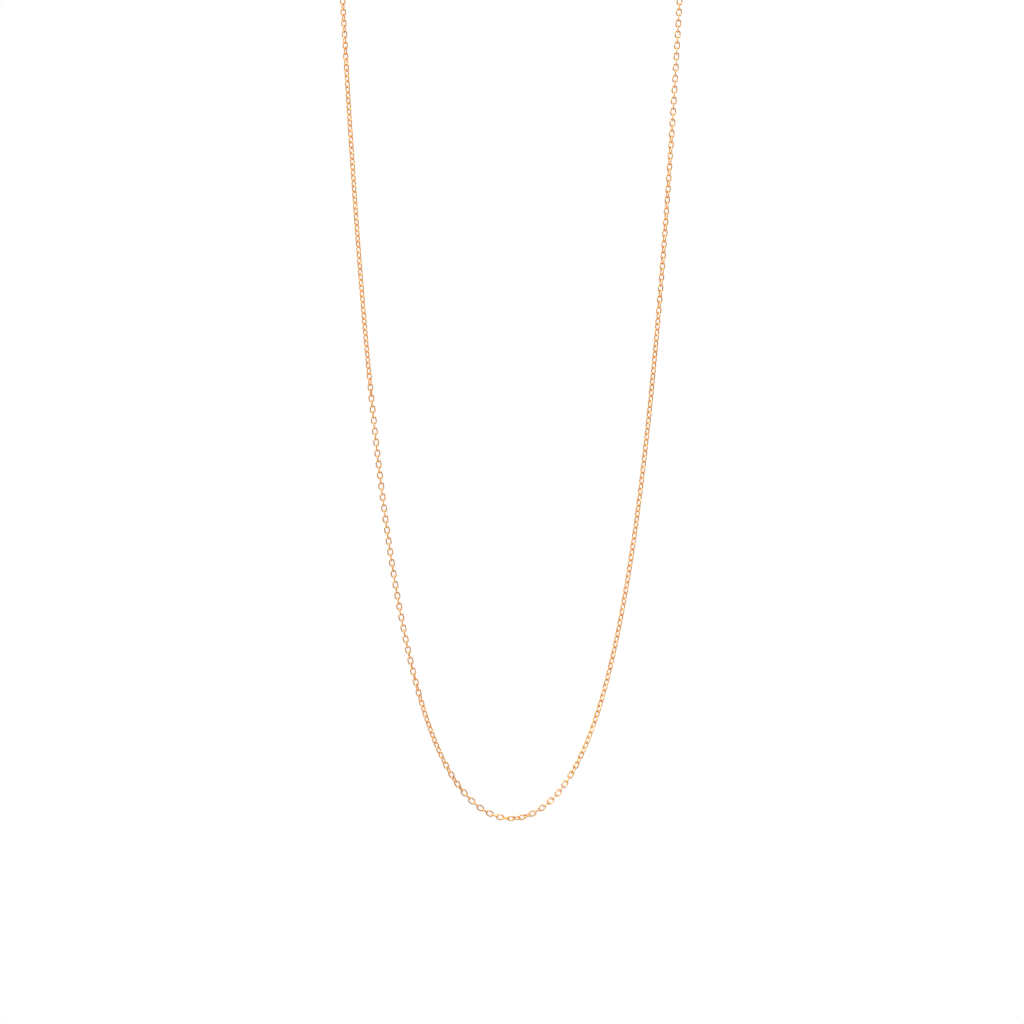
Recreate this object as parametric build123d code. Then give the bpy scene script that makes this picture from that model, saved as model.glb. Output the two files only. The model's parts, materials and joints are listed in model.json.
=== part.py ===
from build123d import *
import math
import os

# A fine trace chain necklace of round wire, fastened, hanging from a slim display form.
# Millimetres, +Z up, the front towards -Y. The origin is the middle of the half circle in which the
# chain lies round the back of the form, so both strands hang below it and the clasp is at +Y.
# The front hangs as a catenary in the plane y = -EDGE_RADIUS, each strand turns over the form's
# front edge in a quarter circle, and the half circle joins the strands at the back.

# Chain
WIRE = 0.29                 # wire diameter
PITCH = 1.18                # length of chain that one link takes up
PLAY = 0.05                 # gap between two wires where they bear on each other
LINK_WIDTH = 1.30           # outside width of a link
LINK_LENGTH = PITCH + 2 * WIRE + PLAY
BOW = (LINK_LENGTH - WIRE) / 2          # from a link's middle to the middle of its wire at either end

# How the chain hangs
CATENARY = 9.95             # radius of curvature at the lowest point
DROPS = 18                  # stretches of each strand between the fold lines
DROP_LINKS = 8              # links in one stretch
CURVE_LINKS = 16            # links each side of the lowest one in the front curve
CENTRE_LINKS = 5            # of those, the ones in the middle node
FRONT_LINKS = CURVE_LINKS + DROPS * DROP_LINKS
EDGE_RADIUS = 5.59          # over the form's front edge
BACK_NODES = 3              # lengths of chain each side, from the front edge to the clasp
BACK_NODE_LINKS = 17
LAST_LINK = FRONT_LINKS + BACK_NODES * BACK_NODE_LINKS

# Turn of the links about the chain's length: (distance from the lowest point, degrees), by side
LEFT, RIGHT = -1, 1
TURNS = {
    LEFT: [
        (0, 20), (4, 0), (12, 0), (14, 25), (19, 25), (21, 45), (30, 45), (38, 15), (50, 5),
        (98, 5), (106, 45), (168, 45), (172, 28), (190, 22), (205, 0),
    ],
    RIGHT: [
        (0, 35), (4, 20), (6, 0), (15, 0), (17, 25), (21, 30), (23, 45), (114, 45), (118, 28),
        (154, 25), (158, 0),
    ],
}

# Rings, each of round wire
JUMP_WIRE = 0.40            # between the chain and the clasp's eye
END_WIRE = 0.45             # held by the hook
END_RADIUS = 1.85           # to the middle of the wire

# Clasp, in its own plane: x towards the nose, y towards the trigger, from the middle of the mouth
CLASP_THICK = 1.40
NOSE_RADIUS = 2.10
MOUTH_RADIUS = 1.30
THROAT_X, THROAT_RADIUS = -0.90, 0.95
TAIL_X, TAIL_RADIUS = -4.50, 0.75
EYE_X, EYE_RADIUS, EYE_WIRE = -5.75, 0.80, 0.54
EDGE_ROUND = 0.55           # all round the outside
MOUTH_ROUND = 0.20          # round the mouth
GAP_X = -1.90               # where the body stops on the trigger's side
GAP_Y = -0.25
SLOT_X, SLOT_LONG, SLOT_WIDE = -2.45, 3.30, 0.66
SLOT_FLOOR = -0.55
HOOK_REST = (0.57, -0.74)   # the end ring's wire in the mouth
EYE_REST = (EYE_X - EYE_RADIUS + (EYE_WIRE + JUMP_WIRE) / 2 + PLAY, 0.0)

# Trigger, its pin and its spring, in the clasp's plane
PIVOT = (-2.75, 0.30)
PIN_RADIUS = 0.22
PIN_FIT = 0.03              # running clearance of the hub on the pin
RIVET_RADIUS, RIVET_HIGH = 0.36, 0.07
HUB_RADIUS, HUB_THICK = 0.62, 0.36
TIP_REACH = 4.11            # from the pivot to the trigger's tip
TIP_CLEAR = 0.06            # from the tip to the nose
TIP_LOW = 13.6              # degrees, seen from the pivot, of the tip's inner corner
ARM_X, ARM_Y = -1.60, 1.00  # the arm's inner corner at the hub's end
NUB = [((-3.00, 1.10), 0.45), ((-3.45, 1.75), 0.38)]
SPRING_WIRE = 0.10
SPRING_BEND = 0.42
SPRING_PATH = [(-1.70, -0.44), (-3.35, -0.20), (-3.35, 0.84), (-1.72, 0.90)]
SPRING_LIFT = 0.255         # from the clasp's middle plane

FRONT_LENGTH = (FRONT_LINKS + 0.5) * PITCH
EDGE_LENGTH = FRONT_LENGTH + EDGE_RADIUS * math.pi / 2
BACK = Vector(0, 1, 0)


def on_catenary(length):
    """The point, the way along and the way the chain faces, length up the right strand."""
    slant = math.hypot(CATENARY, length)
    point = Vector(CATENARY * math.asinh(length / CATENARY), 0, slant - CATENARY)
    return point, Vector(CATENARY / slant, 0, length / slant), -BACK


TOP, TOP_ALONG, _ = on_catenary(FRONT_LENGTH)
NECK_RADIUS = TOP.X + EDGE_RADIUS * TOP_ALONG.X
LOWEST = Vector(0, -EDGE_RADIUS, -EDGE_RADIUS * TOP_ALONG.Z - TOP.Z)
HALF_LENGTH = EDGE_LENGTH + NECK_RADIUS * math.pi / 2


def on_right(length):
    """The same three vectors anywhere on the right half, from the lowest point to the clasp."""
    if length <= FRONT_LENGTH:
        point, along, facing = on_catenary(length)
        return point + LOWEST, along, facing
    if length <= EDGE_LENGTH:
        turn = (length - FRONT_LENGTH) / EDGE_RADIUS
        moved = BACK * (1 - math.cos(turn)) + TOP_ALONG * math.sin(turn)
        along = TOP_ALONG * math.cos(turn) + BACK * math.sin(turn)
        facing = TOP_ALONG * math.sin(turn) - BACK * math.cos(turn)
        return TOP + LOWEST + moved * EDGE_RADIUS, along, facing
    degrees = math.degrees((length - EDGE_LENGTH) / NECK_RADIUS)
    return tuple(v.rotate(Axis.Z, degrees) for v in (Vector(NECK_RADIUS, 0, 0), BACK, TOP_ALONG))


def turn_at(side, length):
    """The links' turn about the chain, in degrees, between the stops of TURNS."""
    stops = TURNS[side]
    for (low, start), (high, end) in zip(stops, stops[1:]):
        if length < high:
            return start + (end - start) * (length - low) / (high - low)
    return stops[-1][1]


def link_place(side, number):
    """Where a link goes: its length along the chain, each a quarter turn from the last."""
    length = number * PITCH
    point, along, facing = (Vector(side * v.X, v.Y, v.Z) for v in on_right(length))
    turn = side * turn_at(side, length) + 90 * (number % 2)
    return Plane(origin=point, x_dir=along, z_dir=facing).location * Rotation(turn, 0, 0)


def make_link():
    """One soldered link: round wire along a slot-shaped path."""
    path = SlotOverall(LINK_LENGTH - WIRE, LINK_WIDTH - WIRE).wire()
    start = Plane(origin=(0, (LINK_WIDTH - WIRE) / 2, 0), z_dir=(1, 0, 0))
    return sweep(start * Circle(WIRE / 2), path=path)


def chain(side, first, last):
    """Links first to last of one side, each a solid of its own."""
    return [LINK.moved(link_place(side, n)) for n in range(first, last + 1)]


def plate(face, thick):
    """A flat piece, half of its thickness each side of the clasp's middle plane."""
    return extrude(face, amount=thick / 2, both=True)


def disc(centre, radius):
    return Pos(*centre) * Circle(radius)


def joined(*discs):
    """The outline of a few discs and the straight lines that touch them."""
    return make_hull([edge for centre, radius in discs for edge in disc(centre, radius).edges()])


def rims(solid, outside):
    """The edges of a plate's two flat faces, either all round its outside or round the mouth."""
    edges = solid.edges().filter_by(lambda e: abs(e.center().Z) > CLASP_THICK / 4)
    return edges.filter_by(lambda e: ((e @ 0.5).X ** 2 + (e @ 0.5).Y ** 2 > 0.99 * NOSE_RADIUS**2) == outside)


def casting(outline):
    """A plate of the clasp's thickness with its edges softened."""
    solid = plate(outline, CLASP_THICK)
    mouth_rims = rims(solid, False)
    if mouth_rims:
        solid = fillet(mouth_rims, MOUTH_ROUND)
    return fillet(rims(solid, True), EDGE_ROUND)


TEARDROP = joined(((0, 0), NOSE_RADIUS), ((TAIL_X, 0), TAIL_RADIUS))
MOUTH = joined(((0, 0), MOUTH_RADIUS), ((THROAT_X, 0), THROAT_RADIUS))


def swept_by_tip(reach):
    """All that lies on the trigger's side within reach of the pivot."""
    beyond_gap = Pos(GAP_X + NOSE_RADIUS * 2, GAP_Y + NOSE_RADIUS * 2) * Rectangle(
        NOSE_RADIUS * 4, NOSE_RADIUS * 4
    )
    return disc(PIVOT, reach) & beyond_gap


def make_clasp_body():
    """The cast hook: the teardrop less its mouth, the trigger's gap, its slot and the pin's hole."""
    slot = Pos(SLOT_X, SLOT_FLOOR + NOSE_RADIUS) * Rectangle(SLOT_LONG, NOSE_RADIUS * 2)
    solid = casting(TEARDROP - MOUTH)
    for outline in (swept_by_tip(TIP_REACH + TIP_CLEAR), disc(PIVOT, PIN_RADIUS)):
        solid -= plate(outline, 2 * CLASP_THICK)
    solid -= plate(slot, SLOT_WIDE)
    return solid + Pos(EYE_X, 0, 0) * Torus(EYE_RADIUS, EYE_WIRE / 2)


def make_trigger():
    """The lever: an arm across the mouth, a thin hub in the slot and a nub for a thumbnail."""
    low = math.radians(TIP_LOW)
    corner = (PIVOT[0] + TIP_REACH * math.cos(low), PIVOT[1] + TIP_REACH * math.sin(low))
    above = Polygon((ARM_X, ARM_Y), corner, (corner[0], 3), (ARM_X, 3), align=None)
    arm = casting(TEARDROP) & plate(above & disc(PIVOT, TIP_REACH), CLASP_THICK)
    web = joined((PIVOT, HUB_RADIUS), ((-1.20, 1.30), 0.28)) + joined(*NUB)
    return arm + plate(web, HUB_THICK) - plate(disc(PIVOT, PIN_RADIUS + PIN_FIT), CLASP_THICK)


def make_pin():
    """A rivet: a shank through both cheeks and a low head on each."""
    shank = plate(disc(PIVOT, PIN_RADIUS), CLASP_THICK)
    heads = plate(disc(PIVOT, RIVET_RADIUS), CLASP_THICK + 2 * RIVET_HIGH)
    return shank + (heads - plate(disc(PIVOT, RIVET_RADIUS), CLASP_THICK))


def make_spring():
    """A hairpin of fine wire round the pin, one leg on the slot's floor and one behind the arm."""
    path = Pos(0, 0, SPRING_LIFT) * FilletPolyline(*SPRING_PATH, radius=SPRING_BEND)
    return sweep(Plane(origin=path @ 0, z_dir=path % 0) * Circle(SPRING_WIRE / 2), path=path)


LINK = make_link()


def strand_nodes():
    """Both strands' stretches, numbered down from the front edge, and the curve that joins them."""
    nodes = {}
    for side, name in ((LEFT, "left"), (RIGHT, "right")):
        for drop in range(DROPS):
            last = FRONT_LINKS - drop * DROP_LINKS
            nodes[f"{name}_strand_{drop + 1:02d}"] = chain(side, last - DROP_LINKS + 1, last)
        nodes[f"{name}_curve"] = chain(side, CENTRE_LINKS + 1, CURVE_LINKS)
    nodes["centre_curve"] = chain(LEFT, 1, CENTRE_LINKS) + chain(RIGHT, 0, CENTRE_LINKS)
    return nodes


def back_nodes():
    """The chain over the form's front edge and round its back, up to the clasp and the end ring."""
    nodes = {}
    for side, name in ((LEFT, "left"), (RIGHT, "right")):
        for part, place in enumerate(("shoulder", "side", "back")):
            first = FRONT_LINKS + part * BACK_NODE_LINKS + 1
            nodes[f"{name}_{place}_chain"] = chain(side, first, first + BACK_NODE_LINKS - 1)
    return nodes


def clasp_nodes():
    """The clasp drawn straight between the last links, with the ring at each end of it."""
    last, along, _ = on_right(LAST_LINK * PITCH)
    bow = last + along * BOW
    hook_x = bow.X + (WIRE + END_WIRE) / 2 + PLAY - 2 * END_RADIUS
    span = Vector(*HOOK_REST) - Vector(*EYE_REST)
    eye_x = hook_x - span.length
    jump_radius = (eye_x + bow.X + (WIRE + JUMP_WIRE) / 2 + PLAY) / 2
    print(f"jump ring radius {jump_radius:.3f}, whole length {2 * HALF_LENGTH:.1f}, neck {NECK_RADIUS:.2f}")

    line = Plane(origin=(eye_x, bow.Y, 0), x_dir=(1, 0, 0), z_dir=(0, 1, 0)).location
    tilt = math.degrees(math.atan2(-span.Y, span.X))
    place = line * Rotation(0, 0, tilt) * Pos(-EYE_REST[0], -EYE_REST[1])
    made = {
        "clasp_body": make_clasp_body(),
        "clasp_trigger": make_trigger(),
        "trigger_pin": make_pin(),
        "trigger_spring": make_spring(),
    }
    nodes = {name: piece.moved(place).solids() for name, piece in made.items()}
    pivot = (place * Pos(*PIVOT)).position
    print("trigger pivot", tuple(round(v, 4) for v in pivot))
    nodes["clasp_jump_ring"] = [Pos(eye_x - jump_radius, bow.Y, 0) * Torus(jump_radius, JUMP_WIRE / 2)]
    nodes["end_ring"] = [Pos(hook_x + END_RADIUS, bow.Y, 0) * Torus(END_RADIUS, END_WIRE / 2)]
    return nodes


def main():
    os.makedirs("parts", exist_ok=True)
    for name, solids in {**strand_nodes(), **back_nodes(), **clasp_nodes()}.items():
        export_step(Compound(children=solids), os.path.join("parts", f"{name}.step"))


if __name__ == "__main__":
    main()
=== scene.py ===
"""A fine rose gold trace chain necklace, fastened by a lobster clasp and hanging in a long curve.

Sizes in the classes are millimetres, as a chain maker gives them. MM turns them into the scene's metres.
The axes are the frame's: +Z up, the front strands towards -Y, the clasp at the back towards +Y.
"""

import json
import logging
import math
from dataclasses import dataclass, field
from enum import Enum
from typing import Any, Iterable

import bpy
import numpy as np
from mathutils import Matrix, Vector

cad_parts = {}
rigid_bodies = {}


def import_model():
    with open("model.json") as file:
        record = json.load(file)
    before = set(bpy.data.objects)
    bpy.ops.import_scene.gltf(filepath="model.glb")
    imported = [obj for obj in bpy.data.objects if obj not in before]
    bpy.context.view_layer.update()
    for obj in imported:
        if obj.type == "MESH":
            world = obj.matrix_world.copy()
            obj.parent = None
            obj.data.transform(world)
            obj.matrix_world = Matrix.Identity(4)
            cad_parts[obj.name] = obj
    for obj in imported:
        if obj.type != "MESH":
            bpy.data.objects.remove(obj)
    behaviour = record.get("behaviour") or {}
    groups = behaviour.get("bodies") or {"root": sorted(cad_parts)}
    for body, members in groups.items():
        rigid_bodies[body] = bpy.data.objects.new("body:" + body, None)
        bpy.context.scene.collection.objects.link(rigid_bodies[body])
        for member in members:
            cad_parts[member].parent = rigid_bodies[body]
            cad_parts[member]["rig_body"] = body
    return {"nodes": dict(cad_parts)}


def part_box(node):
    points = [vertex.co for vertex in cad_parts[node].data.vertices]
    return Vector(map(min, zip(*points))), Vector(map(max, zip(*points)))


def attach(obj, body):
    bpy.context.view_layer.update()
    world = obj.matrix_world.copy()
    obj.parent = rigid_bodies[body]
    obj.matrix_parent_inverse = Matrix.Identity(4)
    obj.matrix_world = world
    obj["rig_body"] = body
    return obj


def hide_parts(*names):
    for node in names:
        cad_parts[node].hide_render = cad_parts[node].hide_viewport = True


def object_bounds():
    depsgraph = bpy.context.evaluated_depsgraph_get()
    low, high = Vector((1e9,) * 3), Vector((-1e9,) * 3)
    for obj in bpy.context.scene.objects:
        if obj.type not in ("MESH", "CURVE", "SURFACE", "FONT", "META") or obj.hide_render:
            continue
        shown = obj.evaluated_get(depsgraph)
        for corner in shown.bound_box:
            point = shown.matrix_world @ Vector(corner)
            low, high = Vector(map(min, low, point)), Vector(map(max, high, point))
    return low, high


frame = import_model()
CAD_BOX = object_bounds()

MM = 0.001
SLOT_GOLD = "rose_gold"
SLOT_STEEL = "spring_steel"
OCTAVE_FADE = 0.6
LOG = logging.getLogger("necklace")


class Side(Enum):
    """Which strand, seen from the front, as the sign of its x."""

    LEFT = -1
    RIGHT = 1


class Polish(Enum):
    """How a gold surface was finished, as (mean roughness, spread of roughness, depth of its marks in mm)."""

    TUMBLED_WIRE = (0.17, 0.12, 0.0016)
    CAST_AND_BUFFED = (0.20, 0.14, 0.0030)


# ---------------------------------------------------------------- shader arithmetic


class Reading:
    """A shader socket that takes part in Python arithmetic."""

    def __init__(self, paint: "Tree", socket: bpy.types.NodeSocket) -> None:
        """Keeps the node tree's writer and the socket."""
        self.paint = paint
        self.socket = socket

    def _with(self, operation: str, *values: Any) -> "Reading":
        """A Math node on these values, in this order."""
        return self.paint.node("ShaderNodeMath", {"operation": operation}, "Value", dict(enumerate(values)))

    def __add__(self, other: Any) -> "Reading":
        """self + other."""
        return self._with("ADD", self, other)

    def __radd__(self, other: Any) -> "Reading":
        """other + self."""
        return self._with("ADD", other, self)

    def __sub__(self, other: Any) -> "Reading":
        """self - other."""
        return self._with("SUBTRACT", self, other)

    def __rsub__(self, other: Any) -> "Reading":
        """other - self."""
        return self._with("SUBTRACT", other, self)

    def __mul__(self, other: Any) -> "Reading":
        """self * other."""
        return self._with("MULTIPLY", self, other)

    def __rmul__(self, other: Any) -> "Reading":
        """other * self."""
        return self._with("MULTIPLY", other, self)

    def limited(self) -> "Reading":
        """self held between 0 and 1."""
        return self.paint.node("ShaderNodeClamp", {}, "Result", {"Value": self, "Min": 0.0, "Max": 1.0})


class Tree:
    """Writes one node tree."""

    def __init__(self, owner: bpy.types.Material | bpy.types.World) -> None:
        """Empties the owner's node tree.

        Args:
            owner: the material or world that the tree belongs to.
        """
        owner.use_nodes = True
        self.tree = owner.node_tree
        self.tree.nodes.clear()

    @staticmethod
    def _find(sockets: Iterable[bpy.types.NodeSocket], key: str | int) -> bpy.types.NodeSocket:
        """The socket with this place, identifier or name."""
        listed = list(sockets)
        if isinstance(key, int):
            return listed[key]
        by_identifier = next((s for s in listed if s.identifier == key), None)
        return by_identifier or next(s for s in listed if s.name == key)

    def node(self, kind: str, settings: dict[str, Any], output: str, inputs: dict[str | int, Any]) -> Reading:
        """Adds one node.

        Args:
            kind: the node's type.
            settings: its own settings, set before its sockets.
            output: the output that is read.
            inputs: a value or a Reading for each socket, by place, identifier or name.

        Returns:
            The chosen output.
        """
        made = self.tree.nodes.new(kind)
        for key, value in settings.items():
            setattr(made, key, value)
        for key, value in inputs.items():
            socket = self._find(made.inputs, key)
            if isinstance(value, Reading):
                self.tree.links.new(value.socket, socket)
            else:
                socket.default_value = value
        return Reading(self, self._find(made.outputs, output)) if output else Reading(self, None)


class Paint(Tree):
    """Writes one material."""

    def __init__(self, name: str) -> None:
        """Makes an empty material of that name."""
        self.material = bpy.data.materials.new(name)
        super().__init__(self.material)

    def attribute(self, name: str) -> Reading:
        """A number that the mesh carries."""
        return self.node("ShaderNodeAttribute", {"attribute_name": name}, "Fac", {})

    def place(self, stretch: tuple[float, float, float] = (1, 1, 1)) -> Reading:
        """The object's own coordinates in metres, times stretch along each axis."""
        spot = self.node("ShaderNodeTexCoord", {}, "Object", {})
        return self.node("ShaderNodeMapping", {}, "Vector", {"Vector": spot, "Scale": stretch})

    def grain(self, size: float, detail: float, stretch: tuple[float, float, float] = (1, 1, 1)) -> Reading:
        """Noise between 0 and 1.

        Args:
            size: the width of its marks in mm.
            detail: how many finer octaves it holds.
            stretch: how many times denser it is along each axis.

        Returns:
            The noise's value.
        """
        return self.node(
            "ShaderNodeTexNoise",
            {},
            "Fac",
            {
                "Vector": self.place(stretch),
                "Scale": 1 / (size * MM),
                "Detail": detail,
                "Roughness": OCTAVE_FADE,
            },
        )

    def mixed(self, factor: Any, first: Any, second: Any) -> Reading:
        """Two colours blended by a factor."""
        return self.node(
            "ShaderNodeMix",
            {"data_type": "RGBA"},
            "Result_Color",
            {"Factor_Float": factor, "A_Color": first, "B_Color": second},
        )

    def bumped(self, height: Reading, depth: float) -> Reading:
        """A normal roughened by height, which is depth mm from its lowest to its highest."""
        sockets = {"Height": height, "Distance": depth * MM, "Strength": 1.0}
        return self.node("ShaderNodeBump", {}, "Normal", sockets)

    def metal(self, colour: Reading, roughness: Reading, normal: Reading) -> bpy.types.Material:
        """Closes the tree as a bare metal and returns the material."""
        self.node("ShaderNodeOutputMaterial", {}, "", {
            "Surface": self.node("ShaderNodeBsdfPrincipled", {}, "BSDF", {
                "Base Color": colour,
                "Metallic": 1.0,
                "Roughness": roughness,
                "Normal": normal,
            }),
        })
        return self.material


# ---------------------------------------------------------------- finishes


@dataclass(frozen=True)
class RoseGold:
    """Fourteen carat rose gold: copper-rich, warmest where it is least polished."""

    name: str
    polish: Polish
    bright: tuple[float, float, float, float] = (0.97, 0.55, 0.22, 1)
    warm: tuple[float, float, float, float] = (0.92, 0.44, 0.15, 1)
    tarnish: tuple[float, float, float, float] = (0.52, 0.18, 0.05, 1)
    solder: tuple[float, float, float, float] = (0.92, 0.60, 0.33, 1)
    wire_clouds: float = 0.45
    wire_lines: float = 0.05
    cast_clouds: float = 1.3
    cast_pits: float = 0.12
    cast_scratches: float = 0.35
    pitted_above: float = 0.62
    most_soldered: float = 0.6
    most_pitted: float = 0.6

    def wire(self) -> bpy.types.Material:
        """The links' material: burnished where links bear, tarnished beside that, paler at the solder.

        Returns:
            A material that reads the link meshes' tint, bearing and solder attributes.
        """
        paint = Paint(self.name)
        mean, spread, depth = self.polish.value
        tint, bearing, solder = (paint.attribute(name) for name in ("tint", "bearing", "solder"))
        cloud = paint.grain(self.wire_clouds, 2)
        fine = paint.grain(self.wire_lines, 3)
        beside = (bearing * (1 - bearing) * 4).limited()
        colour = paint.mixed((tint * 0.7 + cloud * 0.5 - 0.1).limited(), self.bright, self.warm)
        colour = paint.mixed((beside * (0.15 + cloud * 0.5)).limited(), colour, self.tarnish)
        colour = paint.mixed(solder * self.most_soldered, colour, self.solder)
        roughness = (mean + (cloud - 0.5) * spread + solder * 0.10 - bearing * 0.06 + beside * 0.05).limited()
        return paint.metal(colour, roughness, paint.bumped(fine + solder * cloud, depth))

    def casting(self) -> bpy.types.Material:
        """The clasp's material: buffing scratches along x, soft pits and cloudy tarnish.

        Returns:
            A material that needs no attribute.
        """
        paint = Paint(self.name)
        mean, spread, depth = self.polish.value
        cloud = paint.grain(self.cast_clouds, 3)
        pits = paint.grain(self.cast_pits, 2)
        scratches = paint.grain(self.cast_scratches, 4, (0.18, 3.5, 3.5))
        colour = paint.mixed((cloud * 1.2 - 0.2).limited(), self.bright, self.warm)
        pitted = ((pits - self.pitted_above) * 3).limited() * self.most_pitted
        colour = paint.mixed(pitted, colour, self.tarnish)
        roughness = (mean + (scratches - 0.5) * spread + (cloud - 0.5) * spread).limited()
        return paint.metal(colour, roughness, paint.bumped(scratches * 0.6 + pits * 0.4, depth))


@dataclass(frozen=True)
class SpringSteel:
    """Hard drawn spring wire with drawing lines and a little straw-coloured heat tint."""

    name: str
    colour: tuple[float, float, float, float] = (0.60, 0.60, 0.61, 1)
    heated: tuple[float, float, float, float] = (0.50, 0.42, 0.30, 1)
    clouds: float = 0.5
    drawn_lines: float = 0.04
    drawn_depth: float = 0.001
    mean_roughness: float = 0.28
    spread: float = 0.15

    def material(self) -> bpy.types.Material:
        """The spring's material."""
        paint = Paint(self.name)
        cloud = paint.grain(self.clouds, 2)
        lines = paint.grain(self.drawn_lines, 3)
        colour = paint.mixed((cloud - 0.3).limited(), self.colour, self.heated)
        roughness = self.mean_roughness + (cloud - 0.5) * self.spread
        return paint.metal(colour, roughness, paint.bumped(lines, self.drawn_depth))


# ---------------------------------------------------------------- surfaces


def interpolating(count: int) -> np.ndarray:
    """The matrix that turns points into control points whose closed cubic B-spline meets those points.

    A closed uniform cubic B-spline passes, beside each control point, through a sixth of the one before,
    four sixths of itself and a sixth of the one after. This is the inverse of that average.

    Args:
        count: how many points there are round the loop.

    Returns:
        A count by count matrix.
    """
    step = np.eye(count)
    average = (4 * step + np.roll(step, 1, axis=0) + np.roll(step, -1, axis=0)) / 6
    return np.linalg.inv(average)


def ring_faces(rows: int, columns: int) -> np.ndarray:
    """Quads of a grid that closes on itself both ways.

    Args:
        rows: stations along the wire.
        columns: points round the wire.

    Returns:
        An array of four vertex numbers for each face.
    """
    row, column = np.meshgrid(np.arange(rows), np.arange(columns), indexing="ij")
    after, beside = (row + 1) % rows, (column + 1) % columns
    here, there = row * columns, after * columns
    corners = (here + column, there + column, there + beside, here + beside)
    return np.stack(corners, axis=-1).reshape(-1, 4)


def spokes(outward: np.ndarray, around: int) -> tuple[np.ndarray, np.ndarray]:
    """Directions from the middle of a wire that lies flat to its surface.

    At angle v round the wire the direction is cos v times outwards plus sin v times upwards.

    Args:
        outward: for each station, the direction away from the inside of the ring.
        around: how many points there are round the wire.

    Returns:
        The angles v, and the directions for each station and angle.
    """
    v = 2 * np.pi * np.arange(around) / around
    up = np.array([0, 0, 1.0])
    return v, np.cos(v)[None, :, None] * outward[:, None, :] + np.sin(v)[None, :, None] * up


def mesh_from(
    name: str, points: np.ndarray, faces: np.ndarray, marks: dict[str, np.ndarray]
) -> bpy.types.Object:
    """Makes a smooth mesh.

    Args:
        name: the piece's name.
        points: its vertices in mm.
        faces: the vertex numbers of each face, all with as many corners.
        marks: numbers for each vertex, by attribute name.

    Returns:
        The new object, at the origin.
    """
    mesh = bpy.data.meshes.new(name)
    mesh.vertices.add(len(points))
    mesh.vertices.foreach_set("co", (points * MM).ravel().astype(np.float32))
    mesh.loops.add(faces.size)
    mesh.loops.foreach_set("vertex_index", faces.ravel().astype(np.int32))
    mesh.polygons.add(len(faces))
    mesh.polygons.foreach_set("loop_start", np.arange(0, faces.size, faces.shape[1], dtype=np.int32))
    for mark, values in marks.items():
        mesh.attributes.new(mark, "FLOAT", "POINT").data.foreach_set("value", values.astype(np.float32))
    mesh.update(calc_edges=True)
    mesh.shade_smooth()
    piece = bpy.data.objects.new(name, mesh)
    bpy.context.scene.collection.objects.link(piece)
    return piece


def stand_for(piece: bpy.types.Object, node: str, material: bpy.types.Material) -> None:
    """Gives a piece its material and puts it in the place of a CAD node, on that node's body.

    Args:
        piece: the new piece.
        node: the CAD node that it stands for.
        material: its finish.
    """
    piece.data.materials.clear()
    piece.data.materials.append(material)
    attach(piece, frame["nodes"][node]["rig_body"])
    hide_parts(node)
    LOG.info("%s stands for %s", piece.name, node)


# ---------------------------------------------------------------- the chain


@dataclass(frozen=True)
class Link:
    """One soldered oval link of round wire."""

    wire: float = 0.29
    pitch: float = 1.18
    play: float = 0.05
    width: float = 1.30
    stations: int = 12
    around: int = 6
    solder_swell: float = 0.07
    solder_long: float = 0.13

    @property
    def bow(self) -> float:
        """From the middle of the link to the middle of its wire at either end."""
        return (self.pitch + self.wire + self.play) / 2

    def surface(self) -> tuple[np.ndarray, np.ndarray, np.ndarray]:
        """The link's true surface on a grid, lying flat about the origin.

        The wire's middle line is two half circles joined by two straights: a centre that slides along x
        between the half circles' centres, plus the bow radius in the direction that turns once round the
        link. Each point is that middle, plus the wire's radius times (cos v outwards + sin v upwards). The
        radius swells by a bell curve at the middle of one straight, where the link was soldered.

        Returns:
            The grid of points, how strongly each bears on a neighbour, and how near it is to the solder.
        """
        bend = (self.width - self.wire) / 2
        half = self.bow - bend
        knots = np.array([
            0, 2 * half, 2 * half + math.pi * bend, 4 * half + math.pi * bend, 4 * half + 2 * math.pi * bend,
        ])
        length = (half + knots[-1] * np.arange(self.stations) / self.stations) % knots[-1]
        centre = np.interp(length, knots, [half, -half, -half, half, half])
        turn = np.interp(length, knots, np.radians([90, 90, 270, 270, 450]))
        outward = np.stack([np.cos(turn), np.sin(turn), np.zeros_like(turn)], axis=-1)
        middle = bend * outward + np.stack([centre, 0 * centre, 0 * centre], axis=-1)
        solder = np.exp(-(((length - half) / self.solder_long) ** 2))
        radius = self.wire / 2 * (1 + self.solder_swell * solder)
        v, spoke = spokes(outward, self.around)
        points = middle[:, None, :] + radius[:, None, None] * spoke
        bearing = np.clip(-np.cos(v), 0, 1)[None, :] * np.clip(np.abs(outward[:, 0]), 0, 1)[:, None] ** 2
        return points, bearing, np.broadcast_to(solder[:, None], bearing.shape)

    def cage(self) -> tuple[np.ndarray, np.ndarray, np.ndarray]:
        """The few faces from which subdivision gives back the true surface.

        The surface's grid is solved for control points along the wire and then round it.

        Returns:
            Control points, and the bearing and solder marks, one row for each control point.
        """
        points, bearing, solder = self.surface()
        solved = np.einsum("ij,jkc->ikc", interpolating(self.stations), points)
        solved = np.einsum("ij,kjc->kic", interpolating(self.around), solved)
        return solved.reshape(-1, 3), bearing.ravel(), solder.ravel()


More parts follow.
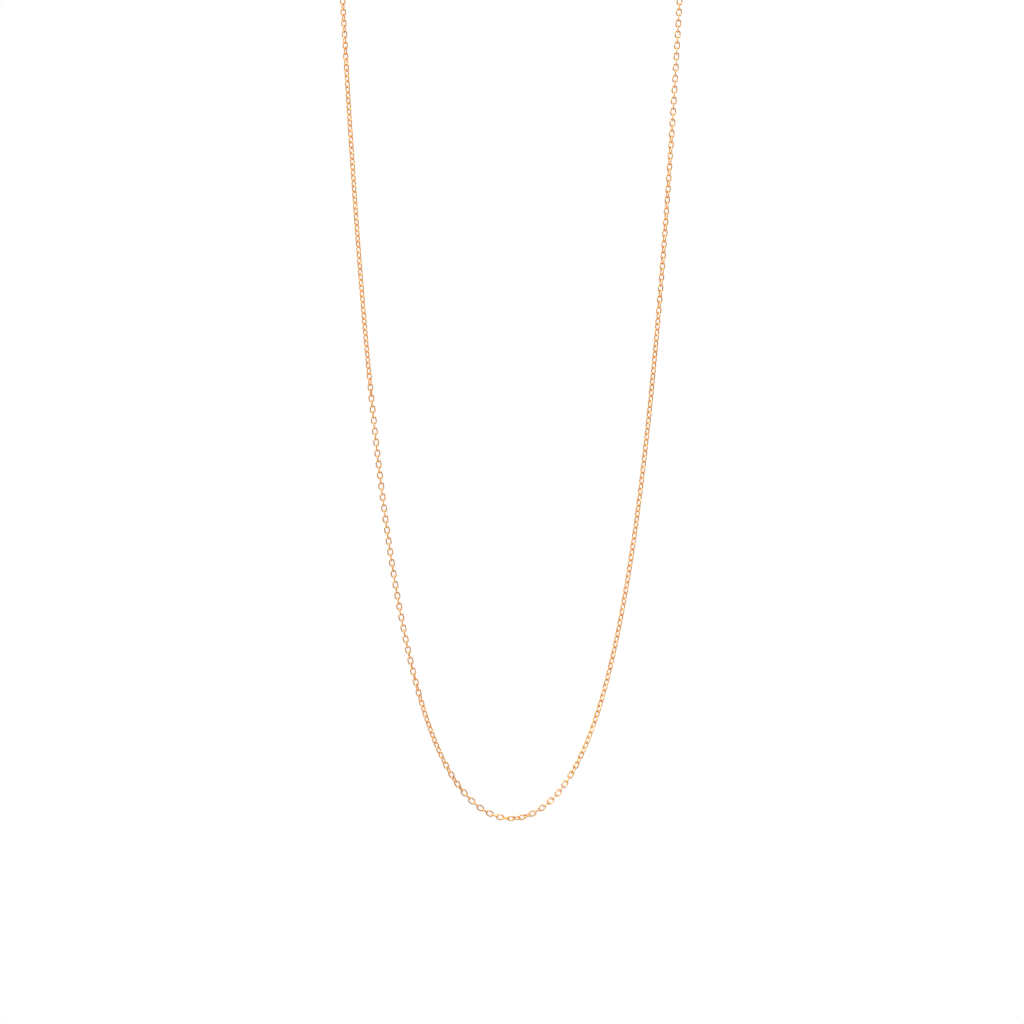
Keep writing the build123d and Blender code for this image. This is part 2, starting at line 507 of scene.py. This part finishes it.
@dataclass(frozen=True)
class Line:
    """The line that the chain's middle follows: a catenary, the form's front edge, then a half circle."""

    catenary: float
    edge_radius: float
    front_length: float

    @property
    def top(self) -> tuple[np.ndarray, np.ndarray]:
        """Where the catenary ends, from its lowest point, and its direction there."""
        slant = math.hypot(self.catenary, self.front_length)
        aside = self.catenary * math.asinh(self.front_length / self.catenary)
        along = np.array([self.catenary / slant, 0, self.front_length / slant])
        return np.array([aside, 0, slant - self.catenary]), along

    @property
    def neck_radius(self) -> float:
        """The radius of the half circle at the back."""
        point, along = self.top
        return point[0] + self.edge_radius * along[0]

    @property
    def lowest(self) -> np.ndarray:
        """The lowest point of the chain's middle."""
        point, along = self.top
        return np.array([0, -self.edge_radius, -self.edge_radius * along[2] - point[2]])

    def follow(self, length: np.ndarray) -> tuple[np.ndarray, np.ndarray, np.ndarray]:
        """Places along the right half.

        On the catenary of radius a the point at length s is (a asinh(s/a), sqrt(a^2 + s^2) - a). Over the
        edge the direction turns towards +Y by s over the edge's radius. Round the back everything turns
        about Z by s over the neck's radius.

        Args:
            length: distances from the lowest point.

        Returns:
            The points, the directions along the chain and the directions in which the chain faces.
        """
        up, back = self.top[1], np.array([0, 1.0, 0])
        front = np.clip(length, 0, self.front_length)
        slant = np.hypot(self.catenary, front)
        zero = np.zeros_like(length)
        point = np.stack([self.catenary * np.arcsinh(front / self.catenary), zero, slant - self.catenary], -1)
        along = np.stack([self.catenary / slant, zero, front / slant], -1)

        turn = np.clip((length - self.front_length) / self.edge_radius, 0, math.pi / 2)[:, None]
        over = back * (1 - np.cos(turn)) + up * np.sin(turn)
        point = point + self.lowest + over * self.edge_radius
        along = np.where(turn > 0, up * np.cos(turn) + back * np.sin(turn), along)
        facing = up * np.sin(turn) - back * np.cos(turn)

        edge_length = self.front_length + self.edge_radius * math.pi / 2
        swing = np.clip((length - edge_length) / self.neck_radius, 0, None)
        return tuple(self._swung(vectors, swing) for vectors in (point, along, facing))

    @staticmethod
    def _swung(vectors: np.ndarray, angle: np.ndarray) -> np.ndarray:
        """Vectors turned about Z by an angle each."""
        x, y, z = vectors.T
        return np.stack([x * np.cos(angle) - y * np.sin(angle), x * np.sin(angle) + y * np.cos(angle), z], -1)


@dataclass
class Chain:
    """All the links, in the lengths that the frame's bodies carry."""

    link: Link = field(default_factory=Link)
    drops: int = 18
    drop_links: int = 8
    curve_links: int = 16
    centre_links: int = 5
    back_links: int = 17
    catenary: float = 9.95
    edge_radius: float = 5.59
    loose_roll: float = 3.0
    seed_step: int = 1000
    turns: dict[Side, list[tuple[float, float]]] = field(default_factory=lambda: {
        Side.LEFT: [
            (0, 20), (4, 0), (12, 0), (14, 25), (19, 25), (21, 45), (30, 45), (38, 15), (50, 5),
            (98, 5), (106, 45), (168, 45), (172, 28), (190, 22), (205, 0),
        ],
        Side.RIGHT: [
            (0, 35), (4, 20), (6, 0), (15, 0), (17, 25), (21, 30), (23, 45), (114, 45), (118, 28),
            (154, 25), (158, 0),
        ],
    })

    def __post_init__(self) -> None:
        """Works out the line and what is the same for every length of chain."""
        self.front_links = self.curve_links + self.drops * self.drop_links
        self.line = Line(self.catenary, self.edge_radius, (self.front_links + 0.5) * self.link.pitch)
        self.cage = self.link.cage()
        self.faces = ring_faces(self.link.stations, self.link.around)
        self.gold = RoseGold("rose_gold_wire", Polish.TUMBLED_WIRE).wire()

    def lengths(self) -> dict[str, list[tuple[Side, int, int]]]:
        """Which links each CAD node holds.

        Returns:
            For each node, stretches of (side, first link, last link), counted from the lowest link.
        """
        held = {"centre_curve": [(Side.LEFT, 1, self.centre_links), (Side.RIGHT, 0, self.centre_links)]}
        for side in Side:
            name = side.name.lower()
            held[f"{name}_curve"] = [(side, self.centre_links + 1, self.curve_links)]
            for drop in range(self.drops):
                last = self.front_links - drop * self.drop_links
                held[f"{name}_strand_{drop + 1:02d}"] = [(side, last - self.drop_links + 1, last)]
            for part, place in enumerate(("shoulder", "side", "back")):
                first = self.front_links + part * self.back_links + 1
                held[f"{name}_{place}_chain"] = [(side, first, first + self.back_links - 1)]
        return held

    def placed(self, side: Side, first: int, last: int) -> tuple[np.ndarray, np.ndarray]:
        """The cages of some links, where they hang.

        A link's own x runs along the chain and its own z faces the way that the chain faces there. It is
        turned about x by the chain's twist, a quarter turn for every other link, and a little looseness.

        Args:
            side: which strand.
            first: the first link's number.
            last: the last link's number.

        Returns:
            Every control point, and a number between 0 and 1 for each link's own tint.
        """
        number = np.arange(first, last + 1)
        length = number * self.link.pitch
        mirror = np.array([side.value, 1, 1])
        point, along, facing = (vectors * mirror for vectors in self.line.follow(length))
        across = np.cross(facing, along)
        chance = np.random.default_rng(self.seed_step * (side.value + 2) + first)
        stops = np.array(self.turns[side])
        roll = side.value * np.interp(length, stops[:, 0], stops[:, 1]) + 90 * (number % 2)
        roll = np.radians(roll + self.loose_roll * chance.uniform(-1, 1, len(number)))[:, None]
        flat = across * np.cos(roll) + facing * np.sin(roll)
        upright = facing * np.cos(roll) - across * np.sin(roll)
        axes = np.stack([along, flat, upright], axis=1)
        cages = np.einsum("vc,ncd->nvd", self.cage[0], axes) + point[:, None, :]
        return cages, chance.uniform(0, 1, len(number))

    def build(self) -> None:
        """Makes one piece of subdivided links for every chain node."""
        for node, stretches in self.lengths().items():
            cages, tints = (np.concatenate(rows) for rows in zip(*(self.placed(*s) for s in stretches)))
            count, size = cages.shape[:2]
            faces = self.faces[None] + size * np.arange(count)[:, None, None]
            marks = {
                "tint": np.repeat(tints, size),
                "bearing": np.tile(self.cage[1], count),
                "solder": np.tile(self.cage[2], count),
            }
            piece = mesh_from(f"{node}_links", cages.reshape(-1, 3), faces.reshape(-1, 4), marks)
            smooth = piece.modifiers.new("round wire", "SUBSURF")
            smooth.levels = smooth.render_levels = 2
            stand_for(piece, node, self.gold)


# ---------------------------------------------------------------- the clasp


@dataclass(frozen=True)
class WireRing:
    """A round ring of round wire, soldered shut at a seam."""

    node: str
    wire: float
    seam_angle: float
    stations: int = 96
    around: int = 24
    seam_deep: float = 0.10
    seam_wide: float = 0.05
    crowding: float = 0.8

    def build(self, material: bpy.types.Material) -> None:
        """Makes the ring where its node is.

        The middle line is a circle in the node's box. Stations crowd towards the seam, and there the
        wire's radius dips by a narrow bell curve.

        Args:
            material: its finish.
        """
        low, high = (np.array(corner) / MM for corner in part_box(self.node))
        middle, radius = (low + high) / 2, (high[0] - low[0] - self.wire) / 2
        t = np.linspace(0, 2 * np.pi, self.stations, endpoint=False)
        angle = t - self.crowding * np.sin(t)
        away = np.minimum(angle, 2 * np.pi - angle) * radius
        thick = self.wire / 2 * (1 - self.seam_deep * np.exp(-((away / self.seam_wide) ** 2)))
        turned = angle + math.radians(self.seam_angle)
        outward = np.stack([np.cos(turned), np.sin(turned), 0 * turned], -1)
        _, spoke = spokes(outward, self.around)
        points = middle + radius * outward[:, None, :] + thick[:, None, None] * spoke
        faces = ring_faces(self.stations, self.around)
        piece = mesh_from(f"{self.node}_wire", points.reshape(-1, 3), faces, {})
        stand_for(piece, self.node, material)


@dataclass(frozen=True)
class ClaspPiece:
    """A cast or turned piece of the clasp, which keeps its CAD shape with smooth rounded faces."""

    node: str
    crease: float = 40.0
    weld: float = 0.0005

    def build(self, material: bpy.types.Material, slot: str) -> None:
        """Joins the node's loose triangles into one skin and shades it smooth between its creases.

        Corners within the weld distance of each other become one vertex, and triangles that this leaves
        with two corners the same are dropped.

        Args:
            material: its finish.
            slot: the record's material slot; not used.
        """
        mesh = frame["nodes"][self.node].data
        points = np.empty(3 * len(mesh.vertices), np.float32)
        mesh.vertices.foreach_get("co", points)
        corners = np.empty(3 * len(mesh.polygons), np.int32)
        mesh.polygons.foreach_get("vertices", corners)
        cells = np.round(points.reshape(-1, 3) / (self.weld * MM)).astype(np.int64)
        _, first, joined = np.unique(cells, axis=0, return_index=True, return_inverse=True)
        faces = joined.ravel()[corners.reshape(-1, 3)]
        whole = (faces != np.roll(faces, 1, axis=1)).all(axis=1)
        piece = mesh_from(f"{self.node}_finished", points.reshape(-1, 3)[first] / MM, faces[whole], {})
        piece.data.set_sharp_from_angle(angle=math.radians(self.crease))
        stand_for(piece, self.node, material)


@dataclass
class Clasp:
    """The lobster clasp, its trigger, pin and spring, and the ring at each end of it."""

    cast: tuple[str, ...] = ("clasp_body", "clasp_trigger", "trigger_pin")
    spring: str = "trigger_spring"
    rings: tuple[WireRing, ...] = (
        WireRing("clasp_jump_ring", 0.40, 62.0),
        WireRing("end_ring", 0.45, -70.0),
    )

    def build(self) -> None:
        """Makes every piece of the clasp."""
        gold = RoseGold("rose_gold_casting", Polish.CAST_AND_BUFFED).casting()
        for node in self.cast:
            ClaspPiece(node).build(gold, SLOT_GOLD)
        ClaspPiece(self.spring).build(SpringSteel("spring_steel_wire").material(), SLOT_STEEL)
        for ring in self.rings:
            ring.build(gold)


# ---------------------------------------------------------------- the studio


@dataclass(frozen=True)
class Softbox:
    """A square soft light that looks at the middle of the necklace."""

    name: str
    place: tuple[float, float, float]
    size: float
    power: float

    def build(self, target: Vector) -> None:
        """Makes the light.

        Args:
            target: the point it faces, in metres.
        """
        light = bpy.data.lights.new(self.name, "AREA")
        light.size, light.energy = self.size, self.power
        lamp = bpy.data.objects.new(self.name, light)
        lamp.location = self.place
        lamp.rotation_euler = (target - lamp.location).to_track_quat("-Z", "Y").to_euler()
        bpy.context.scene.collection.objects.link(lamp)


@dataclass
class Studio:
    """A white sweep, soft lights and a long lens straight in front."""

    distance: float = 2.0
    seen: float = 0.21855
    sensor: float = 36.0
    above_lowest: float = 65.4
    beside_axis: float = 0.2
    floor_below: float = 300.0
    sweep_radius: float = 100.0
    sweep_half: float = 3200.0
    wall_behind: float = 2700.0
    sky: float = 0.74
    ceiling: float = 0.38
    front_shade: float = 0.95
    right_shade: float = 0.40
    floor_glow: float = 0.70
    bend_points: int = 24
    shade_from: float = 0.35
    clip: tuple[float, float] = (0.05, 20.0)
    lights: tuple[Softbox, ...] = (
        Softbox("key_left", (-0.95, -0.40, 0.45), 0.60, 9.0),
        Softbox("fill_right", (1.00, 0.10, 0.10), 0.45, 2.0),
        Softbox("top", (0.05, 0.05, 0.90), 0.60, 5.0),
    )

    def sweep(self, lowest: float) -> None:
        """Makes the floor, which curves up into a wall behind.

        Across x it is straight. Its profile is a floor, a quarter circle and a wall. It glows by emission as
        a light for the chain's reflections, and the glow is painted dimmer on the floor near the chain and
        full white up the wall and far out: painted shade.

        Args:
            lowest: the height of the chain's lowest point in mm.
        """
        floor = lowest - self.floor_below
        bend = np.linspace(0, np.pi / 2, self.bend_points)
        curve = self.wall_behind - self.sweep_radius * (1 - np.sin(bend))
        y = np.concatenate([[-self.sweep_half], curve, [self.wall_behind]])
        z = floor + np.concatenate([[0], self.sweep_radius * (1 - np.cos(bend)), [self.sweep_half]])
        x = np.array([-self.sweep_half, self.sweep_half])
        points = np.stack([np.tile(x, len(y)), np.repeat(y, 2), np.repeat(z, 2)], -1)
        row = 2 * np.arange(len(y) - 1)[:, None]
        sheet = mesh_from("white_sweep", points, row + np.array([[0, 1, 3, 2]]), {})
        paint = Paint("white_paper")
        height = paint.node("ShaderNodeSeparateXYZ", {}, "Z", {"Vector": paint.place()})
        flat = paint.place((1, 1, 0))
        away = paint.node("ShaderNodeVectorMath", {"operation": "LENGTH"}, "Value", {0: flat})
        # Painted shade: the glow is floor_glow on the floor near the chain, rising to full white up the curve
        # and far away.
        lit = (height - floor * MM) * (1 / (self.sweep_radius * MM)) + away * (1 / (self.sweep_half * MM))
        lit = lit.limited()
        glow = paint.mixed(lit, (self.floor_glow,) * 3 + (1,), (1, 1, 1, 1))
        paint.node("ShaderNodeOutputMaterial", {}, "", {
            "Surface": paint.node("ShaderNodeEmission", {}, "Emission", {"Color": glow, "Strength": 1.0}),
        })
        sheet.data.materials.append(paint.material)

    def sky_light(self) -> None:
        """A white room that is brightest above and to the left, and darkest round the lens in front."""
        world = bpy.data.worlds.new("white_room")
        bpy.context.scene.world = world
        tree = Tree(world)
        seen = tree.node("ShaderNodeLightPath", {}, "Is Camera Ray", {})
        toward = tree.node("ShaderNodeTexCoord", {}, "Generated", {})
        right, back, up = (tree.node("ShaderNodeSeparateXYZ", {}, axis, {"Vector": toward}) for axis in "XYZ")
        front = (-self.shade_from - back).limited() * self.front_shade
        strength = self.sky + up * self.ceiling - right * self.right_shade - front
        strength = strength * (1 - seen) + seen
        tree.node("ShaderNodeOutputWorld", {}, "", {
            "Surface": tree.node("ShaderNodeBackground", {}, "Background", {
                "Color": (1, 1, 1, 1),
                "Strength": strength,
            }),
        })

    def camera(self, lowest: np.ndarray) -> None:
        """Sets a long lens level in front of the strands.

        Args:
            lowest: the chain's lowest point in mm.
        """
        data = bpy.data.cameras.new("camera")
        data.sensor_width = self.sensor
        data.lens = self.sensor * self.distance / self.seen
        data.clip_start, data.clip_end = self.clip
        lens = bpy.data.objects.new("camera", data)
        height = (lowest[2] + self.above_lowest) * MM
        lens.location = (self.beside_axis * MM, lowest[1] * MM - self.distance, height)
        lens.rotation_euler = (math.pi / 2, 0, 0)
        bpy.context.scene.collection.objects.link(lens)
        bpy.context.scene.camera = lens

    def build(self, lowest: np.ndarray) -> None:
        """Makes the camera, the lights and the sweep round the chain.

        Args:
            lowest: the chain's lowest point in mm.
        """
        bpy.context.scene.view_settings.view_transform = "Standard"
        self.camera(lowest)
        self.sky_light()
        self.sweep(lowest[2])
        low, high = (Vector(corner) for corner in CAD_BOX)
        for light in self.lights:
            light.build((low + high) / 2)


def main() -> None:
    """Builds the chain, the clasp and the studio in order."""
    logging.basicConfig(level=logging.INFO, format="%(name)s: %(message)s")
    chain = Chain()
    Studio().build(chain.line.lowest)
    chain.build()
    Clasp().build()


if __name__ == "__main__":
    main()
